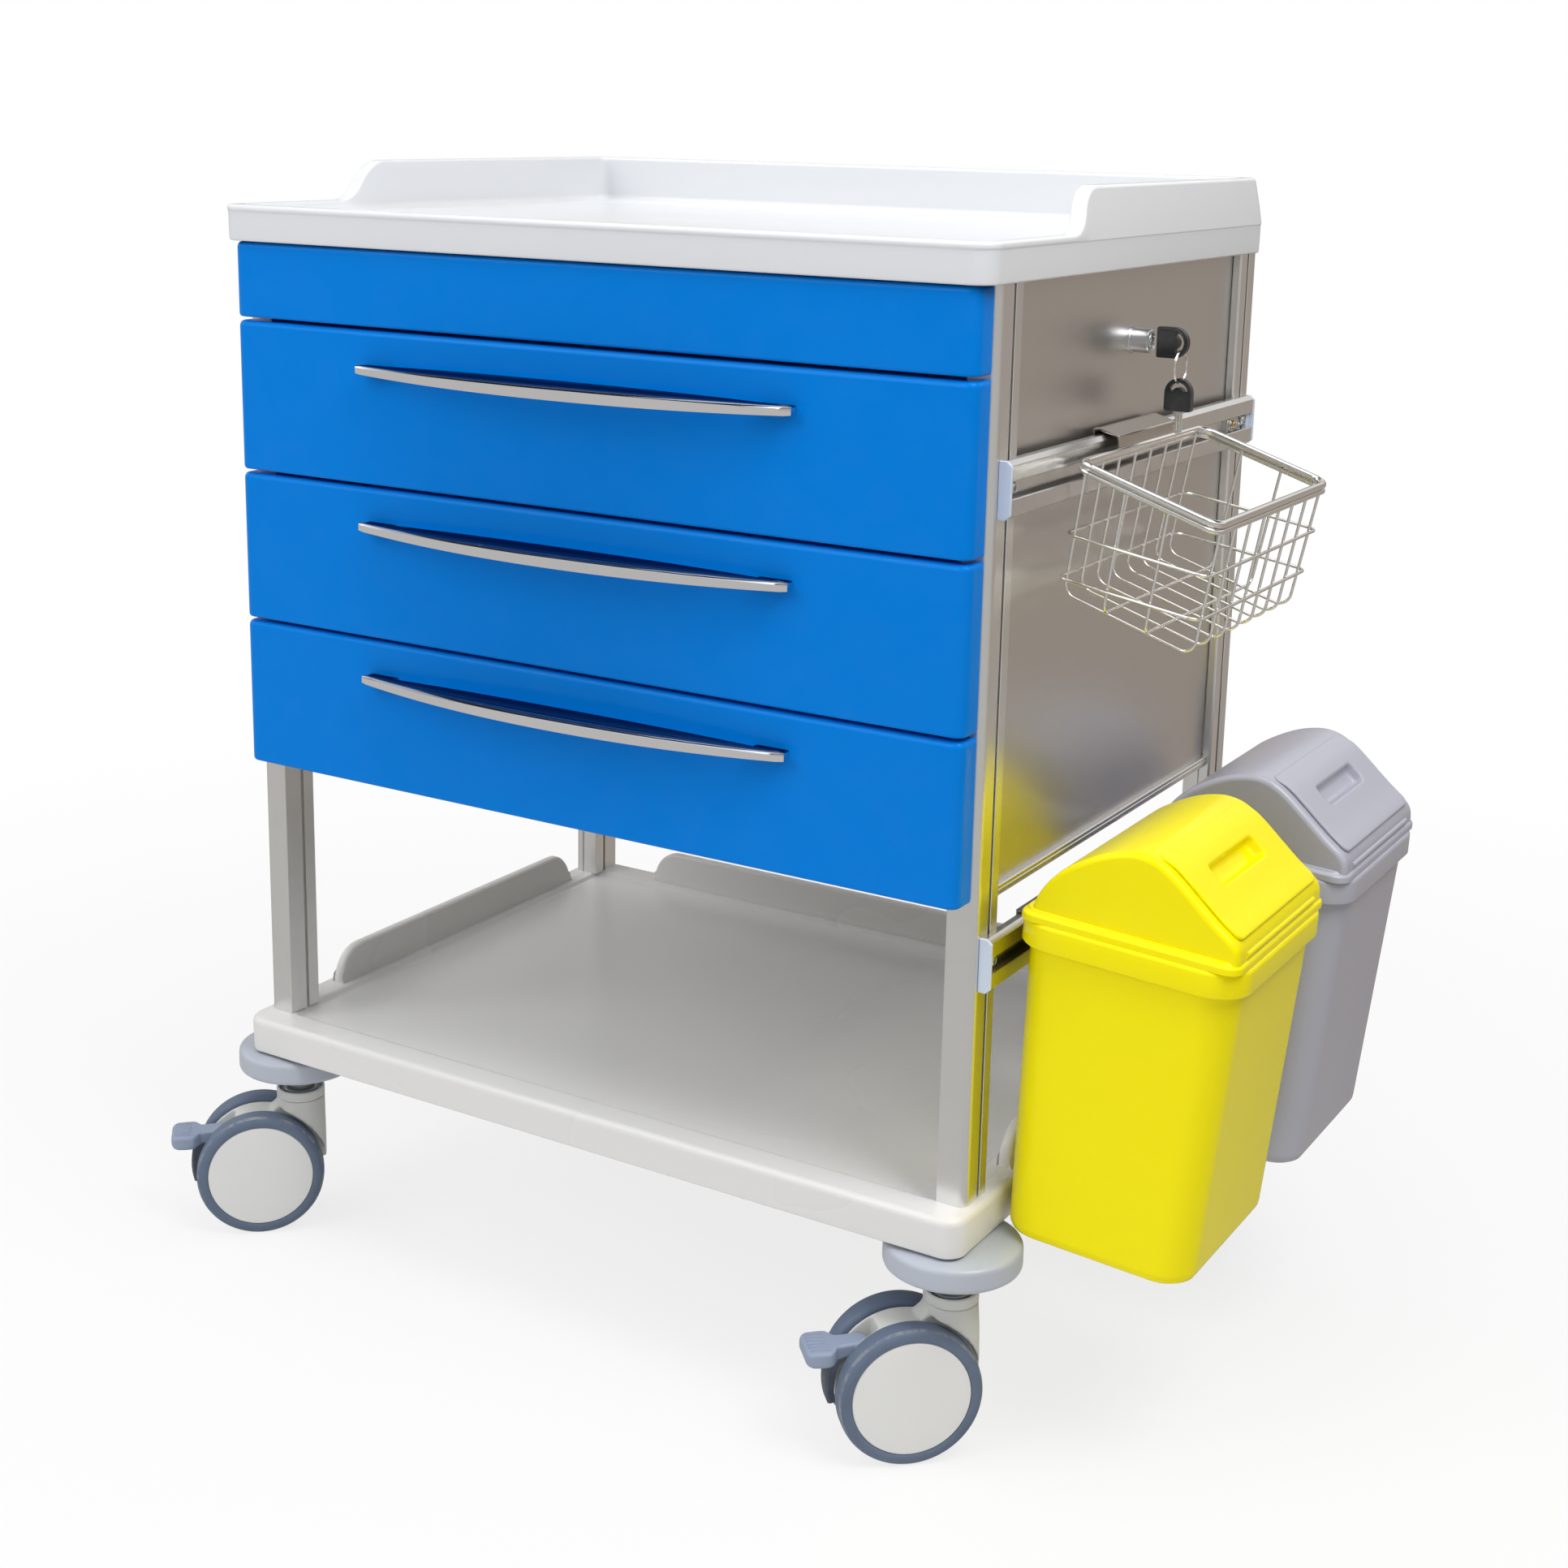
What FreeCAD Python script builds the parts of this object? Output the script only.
import FreeCAD, Part
import math, os, re
import Sketcher
from FreeCAD import Placement, Rotation, Vector

# Mobile treatment cart with three drawers, two trays and four casters, in millimetres.
# The origin is on the floor under the centre of the top tray. +Z is up, the drawers face
# -Y (front) and the accessory rails, lock, basket and bins are on the +X (right) side.

# Driving dimensions. A text entry is worked out from the entries above it.
# A name ending in _x, _y or _z is a place, _half is half a span about the centre.
DIMENSIONS = {
    # top tray; heights are from the floor
    "tray_width": 625.0, "tray_depth": 475.0, "tray_corner": 15.0,
    "tray_bottom": 787.0, "tray_under": 801.0, "tray_deck": 805.0,
    "tray_lip": 813.0, "tray_rim": 843.0,
    "tray_wall": 10.0, "tray_skin": 3.0,
    "ramp_start": -115.0, "ramp_end": -73.0, "ramp_spare": 20.0,
    # bottom tray and its guards
    "low_width": 631.0, "low_depth": 473.0, "low_corner": 15.0,
    "low_bottom": 153.0, "low_deck": 177.5, "low_rim": 181.0,
    "low_skin": 3.5, "low_border": 27.0,
    "guard_top": 209.0, "guard_thick": 10.0, "guard_inset": 8.0, "guard_round": 26.0,
    "guard_side_front": -143.0, "guard_side_back": 173.0, "guard_back_half": 235.0,
    # posts; post_x is the outer face, slot_pos runs from the post's outer end
    "post_x": 309.0, "post_width": 22.0, "post_depth": 32.0,
    "post_front": -213.5, "post_back": 230.5, "post_round": 6.0,
    "slot_width": 3.0, "slot_depth": 4.0, "slot_pos": 19.0,
    "chamber_wall": 3.0, "chamber_gap": 4.0,
    "post_inner": "post_x-post_width",
    "post_length": "tray_under-low_rim",
    "span_front": "post_front+post_depth",
    "span_depth": "post_back-post_depth-span_front",
    # panels and frame rails
    "panel_x": 300.0, "panel_thick": 1.2, "panel_bottom": 395.0, "back_y": 214.0,
    "panel_height": "tray_under-panel_bottom",
    "edge_rail": 8.0, "edge_rail_inset": 2.5, "cross_bar": 12.0,
    "cross_low_z": "panel_bottom-edge_rail-4",
    "cross_top_z": "tray_under-cross_bar",
    # drawer fronts
    "front_half": 303.6, "front_depth": 20.0, "front_skin": 2.5, "front_round": 8.0,
    "front_y": "post_front-front_depth",
    "front_gap": 2.4, "pitch": 113.0, "front_base": 391.5, "fascia_top": 786.7,
    # drawer boxes; lifts are measured from the foot of the drawer's pitch
    "box_half": 274.0, "box_length": 378.0, "box_wall": 1.5, "box_height": 88.0,
    "box_lift": 10.0, "notch_width": 14.0, "notch_depth": 9.0,
    # runners
    "run_length": 424.0, "run_in_length": 376.0, "run_height": 38.0, "run_lift": 52.0,
    "run_thick": 1.3, "run_in_thick": 2.0, "run_flange": 9.0, "run_start": 1.5,
    "run_half": "run_height/2", "run_in_half": "run_half-4",
    # handles
    "handle_half": 180.0, "handle_bow": 30.0, "handle_tip": 10.0, "handle_thick": 2.0,
    "handle_height": 9.0, "handle_lift": 85.0,
    "handle_leg": 171.0, "leg_width": 10.0, "leg_reach": "handle_tip+0.5",
    # accessory rails
    "rail_thick": 8.5, "rail_height": 37.0, "rail_front": -206.0, "rail_length": 425.0,
    "rail_high": 661.0, "rail_low": 350.5, "rail_slot": 11.0, "cap_thick": 2.5,
    "rail_bevel_x": 3.5, "rail_bevel_z": 3.0,
    "rail_lip": 1.6, "rail_web": 1.8, "rail_undercut": 3.5,
    "rail_half": "rail_height/2", "rail_slot_half": "rail_slot/2",
    "rail_high_top": "rail_high+rail_half", "rail_low_top": "rail_low+rail_half",
    # rail fasteners
    "bolt_radius": 4.6, "bolt_height": 3.2, "bolt_hex_radius": 2.0,
    "clip_y": "post_back-50", "clip_thick": 3.6, "clip_length": 16.0, "clip_height": 14.0,
    "clip_screw_radius": 3.4,
    # lock; lock_tail is how far the plug reaches inside the panel
    "lock_y": 12.5, "lock_z": 736.5, "lock_radius": 8.5, "plug_radius": 5.0,
    "run_clear": 0.05, "lock_out": 315.5, "lock_tail": 9.0,
    "cam_x": "panel_x-lock_tail+0.5", "cam_thick": 2.5, "cam_width": 9.0,
    "cam_length": 22.0, "cam_eye_radius": 8.0,
    "bar_x": 288.0, "bar_thick": 2.5, "bar_width": 12.0,
    "bar_bottom": "front_base+60", "bar_top": 760.0, "finger_overlap": 8.0,
    # keys
    "key_out": 320.0, "bow_radius": 11.0, "spare_bow_radius": 10.5, "key_thick": 5.0,
    "eye_radius": 3.2, "eye_x": "key_out+1.55*bow_radius",
    "blade_thick": 2.0, "blade_width": 7.0,
    "ring_radius": 11.8, "ring_wire_radius": 0.8, "ring_drop": 13.4,
    "spare_eye_z": "lock_z-2*ring_drop",
    # casters; trail is the axle's offset from the stem
    "wheel_radius": 50.0, "wheel_hub_radius": 40.0, "wheel_in": 12.0, "wheel_out": 30.0,
    "wheel_width": "wheel_out-wheel_in", "tyre_round": 4.5,
    "axle_radius": 5.0, "trail": 33.0,
    "stem_radius": 6.0, "stem_x": 294.0, "stem_y": 198.5, "stem_bottom": 104.0,
    "plate_thick": 3.0, "plate_z": "low_deck-low_skin-plate_thick",
    "collar_radius": 18.0, "collar_top": 132.0, "collar_bottom": "2*wheel_radius+1.5",
    "housing_width": 19.0, "housing_side": "-housing_width/2",
    "bumper_radius": 46.0, "bumper_bottom": 133.0, "bumper_top": 152.8,
    "bumper_round": 5.0,
    "pedal_y": "-trail-30", "pedal_z": 78.0, "pedal_pin_radius": 2.0,
    "pedal_width": 15.6, "pedal_gap": 16.6, "cheek_thick": 2.7,
    # basket, in its own tilted frame; tapers are the inward lean of each side
    "basket_x": 324.0, "basket_front": -124.5, "basket_z": 666.0, "basket_tilt": 15.2,
    "basket_length": 211.0, "basket_width": 98.8, "basket_height": 91.0,
    "basket_skin": 1.0, "basket_inset": 11.0,
    "basket_taper_in": 16.0, "basket_taper_out": -5.0,
    "hook_front": -58.5, "hook_length": 99.0,
    # bins, in their own tilted frame with the top of the band at z = 0
    "bin_x": 322.0, "bin_z": 380.5, "bin_tilt": 3.5, "bin_a_y": -190.0, "bin_b_y": 20.5,
    "bin_width": 156.0, "bin_length": 173.6, "bin_height": 225.0, "bin_skin": 2.2,
    "bin_band": 18.0, "band_round": 26.0, "bin_round": 24.0,
    "bin_hook_inset": 40.0, "bin_hook_length": 92.0,
    "lid_inset": 4.0, "lid_foot": 0.2, "lid_side": 10.0, "lid_rise": 61.0,
    "flap_thick": 2.2, "flap_clear": 0.4, "flap_x": 84.0, "flap_y": 18.0,
    "flap_length": 138.0, "hinge_z": 64.2, "hinge_radius": 1.3,
    "window_x": 92.0, "window_width": 48.0, "window_inset": 9.0,
}
DRAWER_Z = ["front_base+2*pitch", "front_base+pitch", "front_base"]
UP, ALONG_X, ALONG_Y = Vector(0, 0, 1), Vector(1, 0, 0), Vector(0, 1, 0)
TINY = 1e-6
SIZE = {}


# ---------------------------------------------------------------- dimensions
def value(size):
    """Number for a size: a number, or text such as '2*post_x-5' (no brackets)."""
    total = 0.0
    for sign, term in re.findall(r"([+-]?)([^+-]+)", size if isinstance(size, str) else ""):
        product = 1.0
        for operator, factor in re.findall(r"([*/]?)([\w.]+)", term):
            number = SIZE[factor] if factor in SIZE else float(factor)
            product = product / number if operator == "/" else product * number
        total += -product if sign == "-" else product
    return total if isinstance(size, str) else float(size)


def values(*sizes):
    return [value(size) for size in sizes]


def bind(obj, prop, size):
    """Drive a property from the sheet: 'post_x' becomes 'dims.post_x'."""
    if isinstance(size, str):
        obj.setExpression(prop, re.sub(r"\b[a-z]\w*", r"dims.\g<0>", size))
    else:
        obj.setExpression(prop, repr(float(size)))


def locate(obj, x, y, z):
    for axis, size in zip("xyz", (x, y, z)):
        bind(obj, "Placement.Base." + axis, size)
    return obj


doc = FreeCAD.newDocument("treatment_cart")
sheet = doc.addObject("Spreadsheet::Sheet", "dims")
for row, (alias, entry) in enumerate(DIMENSIONS.items(), start=1):
    sheet.set("A%d" % row, alias)
    sheet.set("B%d" % row, "=" + entry if isinstance(entry, str) else repr(entry))
    sheet.setAlias("B%d" % row, alias)
    SIZE[alias] = value(entry)
doc.recompute()

NODES = {}


def node(name, obj):
    """Register an object as a finished piece that gets its own STEP file."""
    obj.Label = name
    NODES[name] = obj


# ---------------------------------------------------------------- Part helpers
def box(name, x, y, z, length, width, height):
    obj = doc.addObject("Part::Box", name)
    for prop, size in (("Length", length), ("Width", width), ("Height", height)):
        bind(obj, prop, size)
    return locate(obj, x, y, z)


def cylinder(name, radius, length, base, axis=UP):
    obj = doc.addObject("Part::Cylinder", name)
    bind(obj, "Radius", radius)
    bind(obj, "Height", length)
    obj.Placement = Placement(Vector(), Rotation(UP, axis))
    return locate(obj, *base)


def cut(name, base, tool):
    obj = doc.addObject("Part::Cut", name)
    obj.Base, obj.Tool = base, tool
    return obj


def fuse(name, parts):
    obj = doc.addObject("Part::MultiFuse", name)
    obj.Shapes = parts
    obj.Refine = True
    return obj


def group(name, parts):
    obj = doc.addObject("Part::Compound", name)
    obj.Links = parts
    return obj


def mirror_x(name, source):
    obj = doc.addObject("Part::Mirroring", name)
    obj.Source = source
    obj.Normal = ALONG_X
    obj.Base = Vector()
    return obj


def feature(name, shape, placement):
    obj = doc.addObject("Part::Feature", name)
    obj.Shape = shape
    obj.Placement = placement
    return obj


def round_rim(name, base, rim_radius, round_radius):
    """Fillet the circular edges that have the rim's radius."""
    doc.recompute()
    rim, size = value(rim_radius), value(round_radius)
    obj = doc.addObject("Part::Fillet", name)
    obj.Base = base
    obj.Edges = [(i, size, size) for i, edge in enumerate(base.Shape.Edges, start=1)
                 if isinstance(edge.Curve, Part.Circle) and abs(edge.Curve.Radius - rim) < TINY]
    return obj


# ---------------------------------------------------------------- PartDesign helpers
def new_body(name):
    return doc.addObject("PartDesign::Body", name)


def sketch(body, plane, name, offset=None):
    """Sketch on an origin plane; on XZ_Plane the normal, and so the offset, points to -Y."""
    sk = body.newObject("Sketcher::SketchObject", name)
    support = [f for f in body.Origin.OriginFeatures if f.Role == plane][0]
    sk.AttachmentSupport = [(support, "")]
    sk.MapMode = "FlatFace"
    if offset is not None:
        bind(sk, "AttachmentOffset.Base.z", offset)
    return sk


def draw(sk, *strokes):
    """Add strokes: two points make a line, three points an arc through the middle one."""
    for stroke in strokes:
        points = [Vector(across, up, 0) for across, up in stroke]
        curve = Part.LineSegment(*points) if len(points) == 2 else Part.Arc(*points)
        sk.addGeometry(curve, False)


def closed_lines(sk, points):
    count = len(points)
    lines = [sk.addGeometry(Part.LineSegment(points[i], points[(i + 1) % count]), False)
             for i in range(count)]
    for i in range(count):
        following = lines[(i + 1) % count]
        sk.addConstraint(Sketcher.Constraint("Coincident", lines[i], 2, following, 1))
    return lines


def bound_distance(sk, kind, ends, size):
    """Distance between two sketch points that follows the sheet."""
    index = sk.addConstraint(Sketcher.Constraint(kind, *ends, value(size)))
    bind(sk, "Constraints[%d]" % index, size)


def rectangle(body, name, offset, width, depth, x=None, y=None, plane="XY_Plane"):
    """Rectangle sketch with its low corner at (x, y), or centred when they are left out."""
    sk = sketch(body, plane, name, offset)
    across, up = values(width, depth)
    x0, y0 = (-across / 2, -up / 2) if x is None else values(x, y)
    lines = closed_lines(sk, [Vector(x0, y0, 0), Vector(x0 + across, y0, 0),
                              Vector(x0 + across, y0 + up, 0), Vector(x0, y0 + up, 0)])
    for i, direction in ((0, "Horizontal"), (2, "Horizontal"), (1, "Vertical"), (3, "Vertical")):
        sk.addConstraint(Sketcher.Constraint(direction, lines[i]))
    bound_distance(sk, "DistanceX", (lines[0], 1, lines[0], 2), width)
    bound_distance(sk, "DistanceY", (lines[1], 1, lines[1], 2), depth)
    if x is None:
        sk.addConstraint(Sketcher.Constraint("Symmetric", lines[0], 1, lines[1], 2, -1, 1))
    else:
        bound_distance(sk, "DistanceX", (-1, 1, lines[0], 1), x)
        bound_distance(sk, "DistanceY", (-1, 1, lines[0], 1), y)
    return sk


def section(body, name, points):
    """XZ polygon sketch whose every corner is placed by the sheet."""
    sk = sketch(body, "XZ_Plane", name)
    lines = closed_lines(sk, [Vector(*values(across, up), 0) for across, up in points])
    for line, (across, up) in zip(lines, points):
        bound_distance(sk, "DistanceX", (-1, 1, line, 1), across)
        bound_distance(sk, "DistanceY", (-1, 1, line, 1), up)
    return sk


def sweep(kind, body, sk, length, name, reverse, midplane):
    obj = body.newObject(kind, name)
    obj.Profile = sk
    bind(obj, "Length", length)
    obj.Reversed = reverse
    obj.Midplane = midplane
    body.Tip = obj
    doc.recompute()


def pad(body, sk, length, name, reverse=False, midplane=False):
    sweep("PartDesign::Pad", body, sk, length, name, reverse, midplane)


def pocket(body, sk, length, name, reverse=False, midplane=False):
    before = body.Shape.Volume
    sweep("PartDesign::Pocket", body, sk, length, name, reverse, midplane)
    # a pocket that points the wrong way would otherwise pass unnoticed
    if body.Shape.Volume >= before - TINY:
        raise RuntimeError("pocket %s removed nothing" % name)


def is_vertical(edge):
    start, end = edge.Vertexes[0].Point, edge.Vertexes[-1].Point
    return (len(edge.Vertexes) == 2 and abs(start.x - end.x) < TINY
            and abs(start.y - end.y) < TINY and abs(start.z - end.z) > 1)


def round_vertical(body, radius, name, x=None, y=None):
    """Fillet the vertical edges of the body so far, only those at x or y when given."""
    def chosen(edge):
        corner = edge.Vertexes[0]
        return (is_vertical(edge)
                and (x is None or abs(corner.X - value(x)) < TINY)
                and (y is None or abs(corner.Y - value(y)) < TINY))
    base = body.Tip
    names = ["Edge%d" % i for i, edge in enumerate(base.Shape.Edges, start=1) if chosen(edge)]
    fillet = body.newObject("PartDesign::Fillet", name)
    fillet.Base = (base, names)
    bind(fillet, "Radius", radius)
    body.Tip = fillet
    doc.recompute()


# ---------------------------------------------------------------- trays
def draw_ramp(sk):
    """Cut outline: the low lip, an S of two equal tangent arcs, then clear of the rim."""
    y_lip, y_rim, z_lip, z_rim = values("ramp_start", "ramp_end", "tray_lip", "tray_rim")
    y_mid, z_mid = (y_lip + y_rim) / 2, (z_lip + z_rim) / 2
    run, rise = y_rim - y_mid, z_rim - z_mid
    radius = (run * run + rise * rise) / (2 * rise)
    half_turn = math.atan2(run, radius - rise) / 2
    along, up = radius * math.sin(half_turn), radius * (1 - math.cos(half_turn))
    y_front, z_above = values("-tray_depth/2-ramp_spare", "tray_rim+ramp_spare")
    draw(sk,
         [(y_front, z_lip), (y_lip, z_lip)],
         [(y_lip, z_lip), (y_lip + along, z_lip + up), (y_mid, z_mid)],
         [(y_mid, z_mid), (y_rim - along, z_rim - up), (y_rim, z_rim)],
         [(y_rim, z_rim), (y_rim, z_above)],
         [(y_rim, z_above), (y_front, z_above)],
         [(y_front, z_above), (y_front, z_lip)])


def make_top_tray():
    body = new_body("top_tray_body")
    sk = rectangle(body, "tray_outline", "tray_bottom", "tray_width", "tray_depth")
    pad(body, sk, "tray_rim-tray_bottom", "tray_block")
    round_vertical(body, "tray_corner", "tray_corners")
    sk = rectangle(body, "tray_well", "tray_rim",
                   "tray_width-2*tray_wall", "tray_depth-2*tray_wall")
    pocket(body, sk, "tray_rim-tray_deck", "tray_deck_recess")
    sk = rectangle(body, "tray_hollow", "tray_bottom",
                   "tray_width-2*tray_skin", "tray_depth-2*tray_skin")
    pocket(body, sk, "tray_under-tray_bottom", "tray_underside", reverse=True)
    # the side walls drop to the low front lip
    sk = sketch(body, "YZ_Plane", "tray_ramp")
    draw_ramp(sk)
    pocket(body, sk, "tray_width+2*ramp_spare", "tray_front_cut", midplane=True)
    node("top_tray", body)


def add_guard(body, plane, name, low_end, high_end, offset):
    """Upright guard with curved ends, sunk 1 mm into the tray rim."""
    low, high, base, top, curve = values(low_end, high_end, "low_rim-1", "guard_top",
                                         "guard_round")
    # middle point of each end curve, from the end and up from the base
    inward, up = 0.22 * curve, 0.62 * (top - base)
    sk = sketch(body, plane, name, offset)
    draw(sk,
         [(low, base), (high, base)],
         [(high, base), (high - inward, base + up), (high - curve, top)],
         [(high - curve, top), (low + curve, top)],
         [(low + curve, top), (low + inward, base + up), (low, base)])
    pad(body, sk, "guard_thick", name + "_pad")


def make_bottom_tray():
    body = new_body("bottom_tray_body")
    sk = rectangle(body, "low_outline", "low_bottom", "low_width", "low_depth")
    pad(body, sk, "low_rim-low_bottom", "low_block")
    round_vertical(body, "low_corner", "low_corners")
    sk = rectangle(body, "low_well", "low_rim",
                   "low_width-2*low_border", "low_depth-2*low_border")
    pocket(body, sk, "low_rim-low_deck", "low_deck_recess")
    sk = rectangle(body, "low_hollow", "low_bottom",
                   "low_width-2*low_skin", "low_depth-2*low_skin")
    pocket(body, sk, "low_deck-low_skin-low_bottom", "low_underside", reverse=True)
    sides = ("guard_side_front", "guard_side_back")
    add_guard(body, "YZ_Plane", "guard_right", *sides, "low_width/2-guard_inset-guard_thick")
    add_guard(body, "YZ_Plane", "guard_left", *sides, "-low_width/2+guard_inset")
    add_guard(body, "XZ_Plane", "guard_back", "-guard_back_half", "guard_back_half",
              "-low_depth/2+guard_inset")
    node("bottom_tray", body)


# ---------------------------------------------------------------- posts
def make_post(name, start, outer_end, slot_centre, chamber_start):
    """Right-hand post: outer corner rounded, a slot in both X faces, a hollow chamber."""
    body = new_body(name)
    sk = rectangle(body, name + "_section", "low_rim", "post_width", "post_depth",
                   "post_inner", start)
    pad(body, sk, "post_length", name + "_bar")
    round_vertical(body, "post_round", name + "_round", x="post_x", y=outer_end)
    # sketch, pocket, X size, Y size, X start, Y start
    slot_y = slot_centre + "-slot_width/2"
    for outline, hollow, width, depth, x, y in (
            ("_slot_out", "_outer_slot", "slot_depth", "slot_width", "post_x-slot_depth", slot_y),
            ("_slot_in", "_inner_slot", "slot_depth", "slot_width", "post_inner", slot_y),
            ("_core", "_chamber", "post_width-chamber_wall-chamber_gap",
             "slot_pos-chamber_wall-chamber_gap", "post_inner+chamber_wall", chamber_start)):
        sk = rectangle(body, name + outline, "low_rim", width, depth, x, y)
        pocket(body, sk, "post_length", name + hollow, reverse=True)
    return body


def make_posts():
    front = make_post("post_front_r", "post_front", "post_front",
                      "post_front+slot_pos", "post_front+chamber_wall")
    rear = make_post("post_rear_r", "post_back-post_depth", "post_back",
                     "post_back-slot_pos", "post_back-slot_pos+chamber_gap")
    node("corner_posts", group("post_set", [front, mirror_x("post_front_l", front),
                                            rear, mirror_x("post_rear_l", rear)]))


# ---------------------------------------------------------------- panels and frame
def make_panels():
    right = box("panel_sheet", "panel_x", "span_front", "panel_bottom",
                "panel_thick", "span_depth", "panel_height")
    hole = cylinder("panel_hole", "lock_radius-0.3", 10, ("panel_x-5", "lock_y", "lock_z"),
                    ALONG_X)
    node("side_panel_right", cut("panel_right", right, hole))
    node("side_panel_left", box("panel_left", "-panel_x-panel_thick", "span_front",
                                "panel_bottom", "panel_thick", "span_depth", "panel_height"))
    node("back_panel", box("back_sheet", "-post_inner", "back_y", "panel_bottom",
                           "2*post_inner", "panel_thick", "panel_height"))


def make_frame_rails():
    edge = box("edge_rail_r", "panel_x-edge_rail_inset", "span_front",
               "panel_bottom-edge_rail", "edge_rail", "span_depth", "edge_rail")
    rails = [edge, mirror_x("edge_rail_l", edge)]
    for name, y, z in (("cross_front_low", "post_front+14", "cross_low_z"),
                       ("cross_back_low", "back_y-14", "cross_low_z"),
                       ("cross_front_top", "post_front+4", "cross_top_z"),
                       ("cross_back_top", "back_y-14", "cross_top_z")):
        rails.append(box(name, "-post_inner", y, z, "2*post_inner", "cross_bar", "cross_bar"))
    node("frame_rails", group("frame_rail_set", rails))


# ---------------------------------------------------------------- drawers
def make_front(name, z, height):
    """Front pan, hollow from behind, with rounded front vertical edges."""
    body = new_body(name + "_body")
    sk = rectangle(body, name + "_outline", None, "2*front_half", "front_depth",
                   "-front_half", "front_y")
    pad(body, sk, height, name + "_block")
    round_vertical(body, "front_round", name + "_edges", y="front_y")
    sk = rectangle(body, name + "_hollow", "-front_y-front_depth",
                   "2*front_half-2*front_skin", height + "-2*front_skin",
                   "-front_half+front_skin", "front_skin", plane="XZ_Plane")
    pocket(body, sk, "front_depth-front_skin", name + "_back", reverse=True)
    node(name, locate(body, 0, 0, z + "+front_gap/2"))


def make_box(i, z):
    body = new_body("drawer_box_%d_body" % i)
    sk = rectangle(body, "box_%d_outline" % i, None, "2*box_half", "box_length",
                   "-box_half", "front_y+front_depth")
    pad(body, sk, "box_height", "box_%d_block" % i)
    sk = rectangle(body, "box_%d_well" % i, "box_height",
                   "2*box_half-2*box_wall", "box_length-2*box_wall",
                   "-box_half+box_wall", "front_y+front_depth+box_wall")
    pocket(body, sk, "box_height-box_wall", "box_%d_hollow" % i)
    # notch in the right side wall that takes the locking finger
    sk = rectangle(body, "box_%d_notch" % i, "box_height", 20, "notch_width",
                   "box_half-10", "lock_y-notch_width/2")
    pocket(body, sk, "notch_depth", "box_%d_lock_notch" % i)
    node("drawer_box_%d" % i, locate(body, 0, 0, z + "+box_lift"))


def make_runner(name, z, length, web, side, thick, half):
    """C-section pair; side is the sign in X from the web to the flange tips."""
    tip, inside = web + side + "run_flange", web + side + thick
    top, low = half + "-" + thick, thick + "-" + half
    body = new_body(name)
    sk = section(body, name + "_section",
                 [(web, "-" + half), (web, half), (tip, half), (tip, top),
                  (inside, top), (inside, low), (tip, low), (tip, "-" + half)])
    pad(body, sk, length, name + "_bar", reverse=True)
    locate(body, 0, "post_front+run_start", z + "+run_lift")
    return [body, mirror_x(name + "_left", body)]


def make_runners():
    outer = []
    for i, z in enumerate(DRAWER_Z, start=1):
        outer += make_runner("run_out_%d" % i, z, "run_length",
                             "post_inner", "-", "run_thick", "run_half")
        inner = make_runner("run_in_%d" % i, z, "run_in_length",
                            "box_half", "+", "run_in_thick", "run_in_half")
        node("runner_inner_%d" % i, group("run_in_pair_%d" % i, inner))
    node("runner_outer", group("run_out_all", outer))


def make_handle(i, z):
    """Bowed grip with a straight back, on two legs."""
    name = "handle_%d" % i
    body = new_body(name + "_body")
    end, tip, back, bow = values("handle_half", "-handle_tip", "-handle_tip+handle_thick",
                                 "-handle_bow")
    sk = sketch(body, "XY_Plane", name + "_plan")
    draw(sk,
         [(-end, tip), (0, bow), (end, tip)],
         [(end, tip), (end, back)],
         [(end, back), (-end, back)],
         [(-end, back), (-end, tip)])
    pad(body, sk, "handle_height", name + "_bow", midplane=True)
    for side, x in (("r", "handle_leg-leg_width/2"), ("l", "-handle_leg-leg_width/2")):
        leg = "%s_leg_%s" % (name, side)
        sk = rectangle(body, leg, None, "leg_width", "leg_reach", x, "-leg_reach")
        pad(body, sk, "handle_height-2", leg + "_pad", midplane=True)
    node(name, locate(body, 0, "front_y", z + "+handle_lift"))


def make_drawers():
    for i, z in enumerate(DRAWER_Z, start=1):
        make_front("drawer_front_%d" % i, z, "pitch-front_gap")
        make_box(i, z)
        make_handle(i, z)
    make_front("top_fascia", "front_base+3*pitch",
               "fascia_top-front_base-3*pitch-front_gap/2")
    make_runners()


# ---------------------------------------------------------------- accessory rails
# rail section (x, z) from the post face: bevelled outer corners and an undercut slot
RAIL_FOOT = [(0, "-rail_half"), ("rail_thick-rail_bevel_x", "-rail_half"),
             ("rail_thick", "rail_bevel_z-rail_half")]
RAIL_SLOT = [("rail_thick", "-rail_slot_half"),
             ("rail_thick-rail_lip", "-rail_slot_half"),
             ("rail_thick-rail_lip", "-rail_slot_half-rail_undercut"),
             ("rail_web", "-rail_slot_half-rail_undercut"),
             ("rail_web", "rail_slot_half+rail_undercut"),
             ("rail_thick-rail_lip", "rail_slot_half+rail_undercut"),
             ("rail_thick-rail_lip", "rail_slot_half"),
             ("rail_thick", "rail_slot_half")]
RAIL_HEAD = [("rail_thick", "rail_half-rail_bevel_z"),
             ("rail_thick-rail_bevel_x", "rail_half"), (0, "rail_half")]


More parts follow.
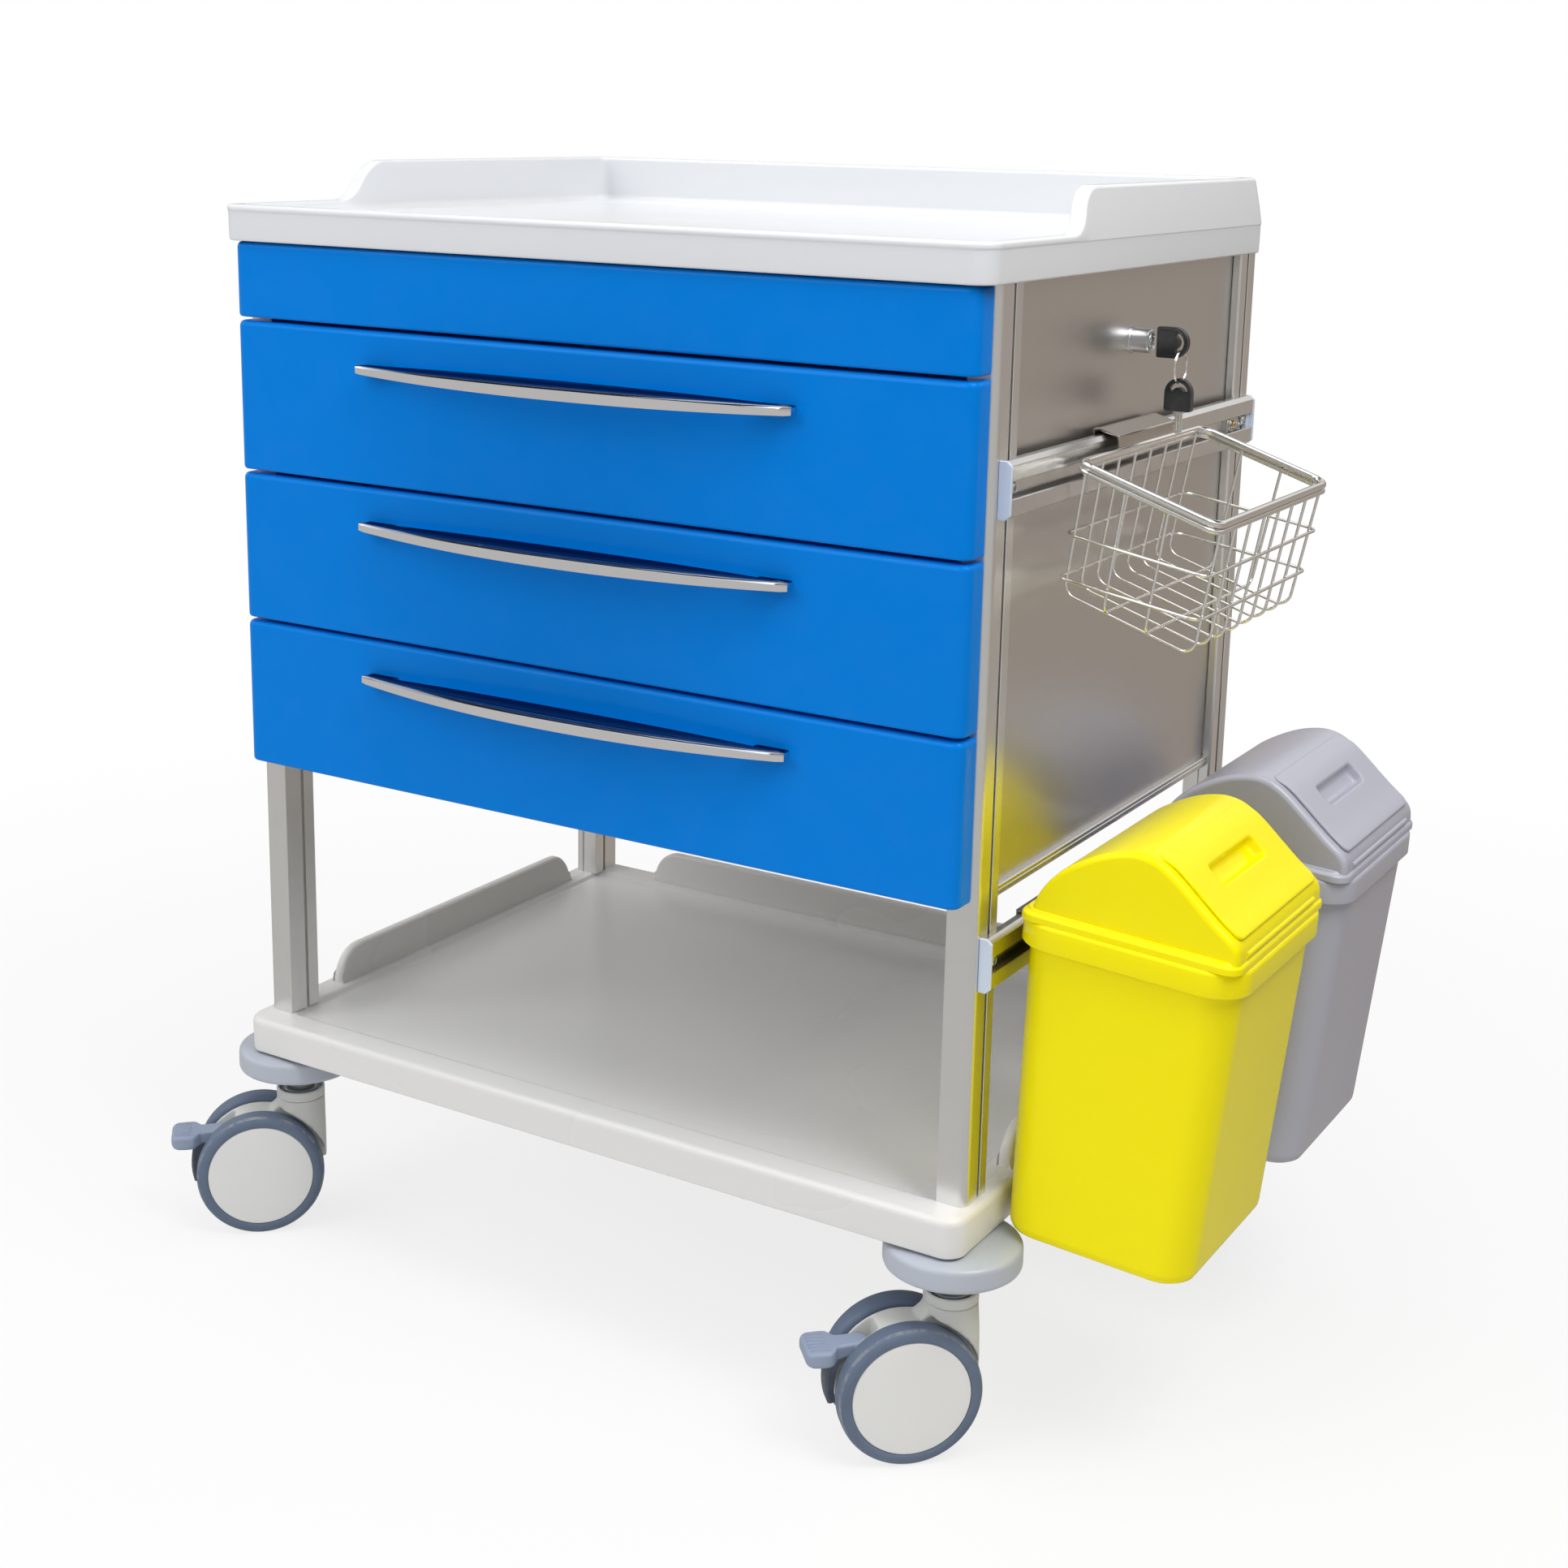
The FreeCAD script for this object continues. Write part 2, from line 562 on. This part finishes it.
def make_rails():
    caps = []
    for name, z in (("upper_rail", "rail_high"), ("lower_rail", "rail_low")):
        body = new_body(name + "_body")
        sk = section(body, name + "_section", RAIL_FOOT + RAIL_SLOT + RAIL_HEAD)
        pad(body, sk, "rail_length", name + "_bar", reverse=True)
        node(name, locate(body, "post_x", "rail_front", z))
        for end, y in (("front", "rail_front-cap_thick"), ("rear", "rail_front+rail_length")):
            cap_name = "%s_cap_%s" % (name, end)
            cap = new_body(cap_name)
            sk = section(cap, cap_name + "_plan", RAIL_FOOT + RAIL_HEAD)
            pad(cap, sk, "cap_thick", cap_name + "_pad", reverse=True)
            caps.append(locate(cap, "post_x", y, z))
    node("rail_end_caps", group("rail_caps", caps))


def make_rail_fasteners():
    """Socket bolts in the rail slots, and a clip nut near the rear of the upper rail."""
    parts = []
    for rail, z in (("up", "rail_high"), ("low", "rail_low")):
        for end, y in (("f", "post_front+slot_pos"), ("r", "post_back-slot_pos")):
            tag = "%s_%s" % (rail, end)
            head = cylinder("bolt_" + tag, "bolt_radius", "bolt_height",
                            ("post_x+rail_web", y, z), ALONG_X)
            socket = cylinder("bolt_%s_hex" % tag, "bolt_hex_radius", 3,
                              ("post_x+3.4", y, z), ALONG_X)
            parts.append(cut("bolt_head_" + tag, head, socket))
    parts.append(box("clip_nut", "post_x+rail_web", "clip_y-clip_length/2",
                     "rail_high-clip_height/2", "clip_thick", "clip_length", "clip_height"))
    parts.append(cylinder("clip_screw", "clip_screw_radius", "bolt_height",
                          ("post_x+rail_web+clip_thick", "clip_y", "rail_high"), ALONG_X))
    node("rail_fasteners", group("bolt_set", parts))


# ---------------------------------------------------------------- lock
def lock_rod(name, radius, length, x):
    """Cylinder on the lock's axis, which runs along X."""
    return cylinder(name, radius, length, (x, "lock_y", "lock_z"), ALONG_X)


def make_lock():
    outer = lock_rod("lock_barrel", "lock_radius", "lock_out-panel_x-panel_thick",
                     "panel_x+panel_thick")
    thread = lock_rod("lock_thread", "lock_radius-0.5", "panel_thick+5", "panel_x-5")
    bore = lock_rod("lock_bore", "plug_radius+run_clear", 60, "panel_x-20")
    barrel = cut("lock_shell", fuse("lock_outer", [outer, thread]), bore)
    nut = cut("lock_nut_ring", lock_rod("lock_nut_disc", 12, 3, "panel_x-4"),
              lock_rod("lock_nut_hole", "lock_radius-0.45", 10, "panel_x-6"))
    node("lock_body", group("lock_barrel_set", [barrel, nut]))

    plug = lock_rod("plug_rod", "plug_radius", "lock_out-1-panel_x+lock_tail",
                    "panel_x-lock_tail")
    slot = box("plug_key_slot", "panel_x-1", "lock_y-1.2", "lock_z-4", 40, 2.4, 8)
    node("lock_plug", cut("plug_slotted", plug, slot))

    arm = box("cam_arm", "cam_x", "lock_y", "lock_z-cam_width/2",
              "cam_thick", "cam_length", "cam_width")
    eye = lock_rod("cam_eye", "cam_eye_radius", "cam_thick", "cam_x")
    hole = lock_rod("cam_hole", "plug_radius+0.02", 12, "panel_x-12")
    node("lock_cam", cut("cam", fuse("cam_blank", [arm, eye]), hole))


def make_lock_bar():
    """Upright strip with a finger over each drawer notch."""
    parts = [box("bar_strip", "bar_x", "lock_y-bar_width/2", "bar_bottom",
                 "bar_thick", "bar_width", "bar_top-bar_bottom")]
    for i, z in enumerate(DRAWER_Z, start=1):
        parts.append(box("finger_%d" % i, "box_half-finger_overlap", "lock_y-bar_width/2+1",
                         z + "+box_lift+box_height+2",
                         "bar_x-box_half+finger_overlap+1", "bar_width-2", 3))
    node("lock_bar", fuse("lock_bar_weld", parts))


def key_head(prefix, radius, bow_x, bow_z, shoulder, eye_z):
    """Round bow joined to a flat shoulder, with a hole for the ring."""
    bow_name = "bow_disc" if prefix == "bow" else "spare_disc"
    bow = cylinder(bow_name, radius, "key_thick", (bow_x, "lock_y-key_thick/2", bow_z), ALONG_Y)
    eye = cylinder(prefix + "_eye", "eye_radius", 12, ("eye_x", "lock_y-6", eye_z), ALONG_Y)
    x, z, length, height = shoulder
    flat = box(prefix + "_shoulder", x, "lock_y-key_thick/2", z, length, "key_thick", height)
    stem = "key" if prefix == "bow" else prefix
    return cut(stem + "_head_cut", fuse(stem + "_head_blank", [bow, flat]), eye)


def make_keys():
    """Key in the lock, and a spare hanging below it on a wire ring."""
    # shoulder: x, z, X size, Z size
    node("key_head", key_head("bow", "bow_radius", "key_out+bow_radius", "lock_z",
                              ("key_out", "lock_z-7", 10, 14), "lock_z"))
    node("key_blade", box("blade", "panel_x+2", "lock_y-blade_thick/2",
                          "lock_z-blade_width/2", "key_out-panel_x-2",
                          "blade_thick", "blade_width"))
    ring = doc.addObject("Part::Torus", "ring_wire")
    bind(ring, "Radius1", "ring_radius")
    bind(ring, "Radius2", "ring_wire_radius")
    ring.Placement = Placement(Vector(), Rotation(UP, ALONG_X))
    node("key_ring", locate(ring, "eye_x", "lock_y", "lock_z-ring_drop"))
    node("spare_key_head", key_head("spare", "spare_bow_radius", "eye_x", "spare_eye_z-6",
                                    ("eye_x-7", "spare_eye_z-21", 14, 12), "spare_eye_z"))
    node("spare_key_blade", box("spare_blade", "eye_x-blade_width/2",
                                "lock_y-blade_thick/2", "spare_eye_z-35.5",
                                "blade_width", "blade_thick", 14.5))


# ---------------------------------------------------------------- casters
# Each twin-wheel caster is built on its stem axis with the axle along X, then turned.
# name, side in X, side in Y, turn in degrees, has a brake
CASTERS = [
    ("front_left", -1, -1, -47.0, True),
    ("front_right", 1, -1, -47.0, True),
    ("rear_left", -1, 1, -38.0, False),
    ("rear_right", 1, 1, -52.0, False),
]


def axle_rod(name, radius, length, x):
    return cylinder(name, radius, length, (x, "-trail", "wheel_radius"), ALONG_X)


def pedal_pin(name):
    return cylinder(name, "pedal_pin_radius", 18, (-9, "pedal_y", "pedal_z"), ALONG_X)


def caster_housing(name, brake):
    collar = cylinder(name + "_collar", "collar_radius", "collar_top-collar_bottom",
                      (0, 0, "collar_bottom"))
    web = box(name + "_web", "housing_side", "-trail-8", 30, "housing_width", "trail+20", 74)
    disc = axle_rod(name + "_disc", 26, "housing_width", "housing_side")
    hood_outer = axle_rod(name + "_hood_o", "wheel_radius+7", 54, -27)
    hood_inner = axle_rod(name + "_hood_i", "wheel_radius+2.5", 80, -40)
    sector = doc.addObject("Part::Common", name + "_hood_sector")
    sector.Base = cut(name + "_hood", hood_outer, hood_inner)
    sector.Tool = box(name + "_hood_keep", -40, "-trail-12", 42, 80, 90, 80)
    axle = axle_rod(name + "_axle", "axle_radius", "2*wheel_out-4", "2-wheel_out")
    parts = [collar, web, disc, sector, axle]
    if brake:
        for side, x in (("l", "-pedal_gap/2-cheek_thick"), ("r", "pedal_gap/2")):
            parts.append(box("%s_cheek_%s" % (name, side), x, "-trail-36", 62,
                             "cheek_thick", 14, 22))
        parts.append(pedal_pin(name + "_pedal_pin"))
    housing = fuse(name + "_housing_weld", parts)
    if brake:
        gap = box(name + "_pedal_gap", "-pedal_gap/2", "-trail-60", 58, "pedal_gap", 33, 40)
        housing = cut(name + "_housing_gap", housing, gap)
    bore = cylinder(name + "_stem_bore", "stem_radius+run_clear", 60, (0, 0, 103))
    housing = cut(name + "_housing_cut", housing, bore)
    if brake:
        # the gap also cleared the pin between the cheeks, so it is added back
        housing = fuse(name + "_housing_full", [housing, pedal_pin(name + "_pedal_pin2")])
    return housing


def caster_wheels(name):
    """Hub pair and tyre pair."""
    hubs, tyres = [], []
    for side, x in (("_l", "-wheel_out"), ("_r", "wheel_in")):
        wheel = name + side
        hubs.append(cut(wheel + "_hub",
                        axle_rod(wheel + "_hub_disc", "wheel_hub_radius", "wheel_width", x),
                        axle_rod(wheel + "_hub_bore", "axle_radius+run_clear", 100, -50)))
        tyre = cut(wheel + "_tyre_ring",
                   axle_rod(wheel + "_tyre_disc", "wheel_radius", "wheel_width", x),
                   axle_rod(wheel + "_tyre_hole", "wheel_hub_radius", 100, -50))
        tyres.append(round_rim(wheel + "_tyre", tyre, "wheel_radius", "tyre_round"))
    return group(name + "_hub_pair", hubs), group(name + "_tyre_pair", tyres)


def caster_brake(name):
    arm = box(name + "_pedal_arm", "-pedal_width/2", "-trail-58", 71, "pedal_width", 32, 9)
    eye = cylinder(name + "_pedal_eye", 4.6, "pedal_width",
                   ("-pedal_width/2", "pedal_y", "pedal_z"), ALONG_X)
    paddle = box(name + "_pedal_paddle", -16, "-trail-69", 70, 32, 16, 11)
    hole = cylinder(name + "_pedal_hole", "pedal_pin_radius+run_clear", 60,
                    (-30, "pedal_y", "pedal_z"), ALONG_X)
    return cut(name + "_pedal", fuse(name + "_pedal_weld", [arm, eye, paddle]), hole)


def caster_stem(name):
    pin = cylinder(name + "_stem_pin", "stem_radius", "plate_z-stem_bottom",
                   (0, 0, "stem_bottom"))
    plate = box(name + "_stem_plate", -17, -26, "plate_z", 34, 52, "plate_thick")
    return fuse(name + "_stem", [pin, plate])


def caster_bumper(name):
    ring = cut(name + "_bumper_ring",
               cylinder(name + "_bumper_disc", "bumper_radius", "bumper_top-bumper_bottom",
                        (0, 0, "bumper_bottom")),
               cylinder(name + "_bumper_hole", "stem_radius+1", 60, (0, 0, 120)))
    return round_rim(name + "_bumper", ring, "bumper_radius", "bumper_round")


def make_casters():
    stems, bumpers = [], []
    for name, side_x, side_y, turn, brake in CASTERS:
        base = Vector(side_x * value("stem_x"), side_y * value("stem_y"), 0)
        hubs, tyres = caster_wheels(name)
        pieces = {"housing": caster_housing(name, brake), "hubs": hubs, "tyres": tyres}
        if brake:
            pieces["brake"] = caster_brake(name)
        for piece, obj in pieces.items():
            obj.Placement = Placement(base, Rotation(UP, turn))
            node("caster_%s_%s" % (name, piece), obj)
        stem, bumper = caster_stem(name), caster_bumper(name)
        for obj in (stem, bumper):
            obj.Placement = Placement(base, Rotation())
        stems.append(stem)
        bumpers.append(bumper)
    node("caster_stems", group("stem_set", stems))
    node("caster_bumpers", group("bumper_set", bumpers))


# ---------------------------------------------------------------- basket and bins
def rectangle_wire(x0, x1, y0, y1, z, radius=0.0):
    """Level rectangle, with rounded corners when a radius is given."""
    if radius <= 0:
        return Part.makePolygon([Vector(x0, y0, z), Vector(x1, y0, z), Vector(x1, y1, z),
                                 Vector(x0, y1, z), Vector(x0, y0, z)])
    # corner centre and the angle its arc starts at
    corners = [(x1 - radius, y0 + radius, -90), (x1 - radius, y1 - radius, 0),
               (x0 + radius, y1 - radius, 90), (x0 + radius, y0 + radius, 180)]
    arcs = []
    for x, y, start in corners:
        angles = [math.radians(start + turn) for turn in (0, 45, 90)]
        arcs.append([Vector(x + radius * math.cos(angle), y + radius * math.sin(angle), z)
                     for angle in angles])
    edges = []
    for i, arc in enumerate(arcs):
        edges.append(Part.Arc(*arc).toShape())
        edges.append(Part.LineSegment(arc[2], arcs[(i + 1) % 4][0]).toShape())
    return Part.Wire(edges)


def frustum(top, bottom, radius=0.0):
    """Solid between two rectangles, each (x0, x1, y0, y1, z)."""
    return Part.makeLoft([rectangle_wire(*bottom, radius), rectangle_wire(*top, radius)],
                         True, True)


def make_hook(name, prefix, rail_top, y, width, plates):
    """Bent plate over a rail; each plate is name, x, z from rail top, X size, Z size."""
    parts = [box(prefix + plate, x, y, rail_top + "%+g" % rise, length, width, height)
             for plate, x, rise, length, height in plates]
    node(name, fuse(prefix + "plate", parts))


def make_basket():
    width, length, height, skin = values("basket_width", "basket_length",
                                         "basket_height", "basket_skin")
    taper_in, taper_out, inset = values("basket_taper_in", "basket_taper_out",
                                        "basket_inset")

    def level(z, wall):
        """Section at height z, moved in from the outer faces by the wall."""
        part = -z / height
        return (taper_in * part + wall, width - taper_out * part - wall,
                inset * part + wall, length - inset * part - wall, z)

    outer = frustum(level(0, 0), level(-height, 0))
    # the hollow starts 1 mm above the rim for a clean opening
    shell = outer.cut(frustum(level(1.0, skin), level(-height + skin, skin)))
    position = Vector(*values("basket_x", "basket_front", "basket_z"))
    tilt = Rotation(ALONG_Y, value("basket_tilt"))
    node("wire_basket", feature("basket_tray", shell, Placement(position, tilt)))
    make_hook("basket_hook", "hook_", "rail_high_top", "hook_front", "hook_length",
              [("top", 305, 0.9, 15.6, 1.6),
               ("back", 305, -15, 1.4, 17.5),
               ("face", 319.2, -12.4, 1.4, 14.9),
               ("lip", 319.2, -12.4, 8, 1.2)])
    NODES["basket_hook"].Label = "basket_hook"


def bin_tub():
    """Tapered tub under a straight rim band."""
    width, length, height, band, skin, curve = values(
        "bin_width", "bin_length", "bin_height", "bin_band", "bin_skin", "bin_round")

    def top(wall, z):
        return (5 + wall, width - 5 - wall, 5 + wall, length - 5 - wall, z)

    def floor(wall):
        return (10.6 + wall, width - 13.2 - wall, 7.3 + wall, length - 5.9 - wall,
                -height + wall)

    outline = rectangle_wire(0, width, 0, length, -band, value("band_round"))
    rim = Part.Face(outline).extrude(Vector(0, 0, band))
    tub = frustum(top(0, -band), floor(0), curve)
    well = frustum(top(skin, 1.0), floor(skin), curve - skin)
    return rim.fuse(tub).removeSplitter().cut(well)


def arch(inset, foot, top):
    """Half-barrel prism: upright sides to lid_side, then an arc up to top."""
    width, length, side = values("bin_width", "bin_length", "lid_side")
    x0, x1 = inset, width - inset
    start, left, crown, right, end = [
        Vector(x, inset, z) for x, z in
        ((x0, foot), (x0, side), ((x0 + x1) / 2, top), (x1, side), (x1, foot))]
    outline = Part.Wire([Part.LineSegment(start, left).toShape(),
                         Part.Arc(left, crown, right).toShape(),
                         Part.LineSegment(right, end).toShape(),
                         Part.LineSegment(end, start).toShape()])
    return Part.Face(outline).extrude(Vector(0, length - 2 * inset, 0))


def bin_lid():
    """Hollow arched lid with an opening in its outer side."""
    inset, foot, rise, skin = values("lid_inset", "lid_foot", "lid_rise", "bin_skin")
    lid = arch(inset, foot, rise).cut(arch(inset + skin, -5, rise - skin))
    x, y, width, length = values("window_x", "flap_y+window_inset", "window_width",
                                 "flap_length-2*window_inset")
    return lid.cut(Part.makeBox(width, length, 70, Vector(x, y, 20)))


def bin_flap():
    """Curved plate just outside the lid's arc, with a hinge rod along its upper edge."""
    half, sag = values("bin_width/2-lid_inset", "lid_rise-lid_side")
    lid_radius = (half * half + sag * sag) / (2 * sag)
    x, y, length, thick = values("flap_x", "flap_y", "flap_length", "flap_thick")
    centre_x, centre_z = value("bin_width/2"), value("lid_rise") - lid_radius
    inner = lid_radius + value("flap_clear")
    flap = Part.makeCylinder(inner + thick, length, Vector(centre_x, y, centre_z), ALONG_Y)
    flap = flap.cut(Part.makeCylinder(inner, 160, Vector(centre_x, 8, centre_z), ALONG_Y))
    flap = flap.common(Part.makeBox(65, 200, 90, Vector(x, 0, 16)))
    hinge_radius, hinge_z = values("hinge_radius", "hinge_z")
    return flap.fuse(Part.makeCylinder(hinge_radius, length, Vector(x, y, hinge_z), ALONG_Y))


def make_bins():
    for tag in "ab":
        name, y = "bin_%s_" % tag, "bin_%s_y" % tag
        placement = Placement(Vector(*values("bin_x", y, "bin_z")),
                              Rotation(ALONG_Y, value("bin_tilt")))
        node(name + "body", feature(name + "tub", bin_tub(), placement))
        node(name + "lid", feature(name + "dome", bin_lid(), placement))
        node(name + "flap", feature(name + "flap_plate", bin_flap(), placement))
        make_hook(name + "hook", name + "hook_", "rail_low_top", y + "+bin_hook_inset",
                  "bin_hook_length",
                  [("top", 307, 0.6, 13.4, 1.4),
                   ("back", 307, -17, 1.4, 19),
                   ("face", 319, -19, 1.4, 21)])


# ---------------------------------------------------------------- build and export
for make in (make_top_tray, make_bottom_tray, make_posts, make_panels, make_frame_rails,
             make_drawers, make_rails, make_rail_fasteners, make_lock, make_lock_bar,
             make_keys, make_casters, make_basket, make_bins):
    make()

doc.recompute()
for obj in doc.Objects:
    if "Invalid" in obj.State or "Error" in obj.State:
        raise RuntimeError("failed object: %s %s" % (obj.Name, obj.State))
for name, obj in NODES.items():
    shape = obj.Shape
    if shape.isNull() or not shape.isValid() or not shape.Solids or shape.Volume <= 0:
        raise RuntimeError("bad shape: %s" % name)
os.makedirs("parts", exist_ok=True)
for name, obj in NODES.items():
    obj.Shape.exportStep("parts/%s.step" % name)
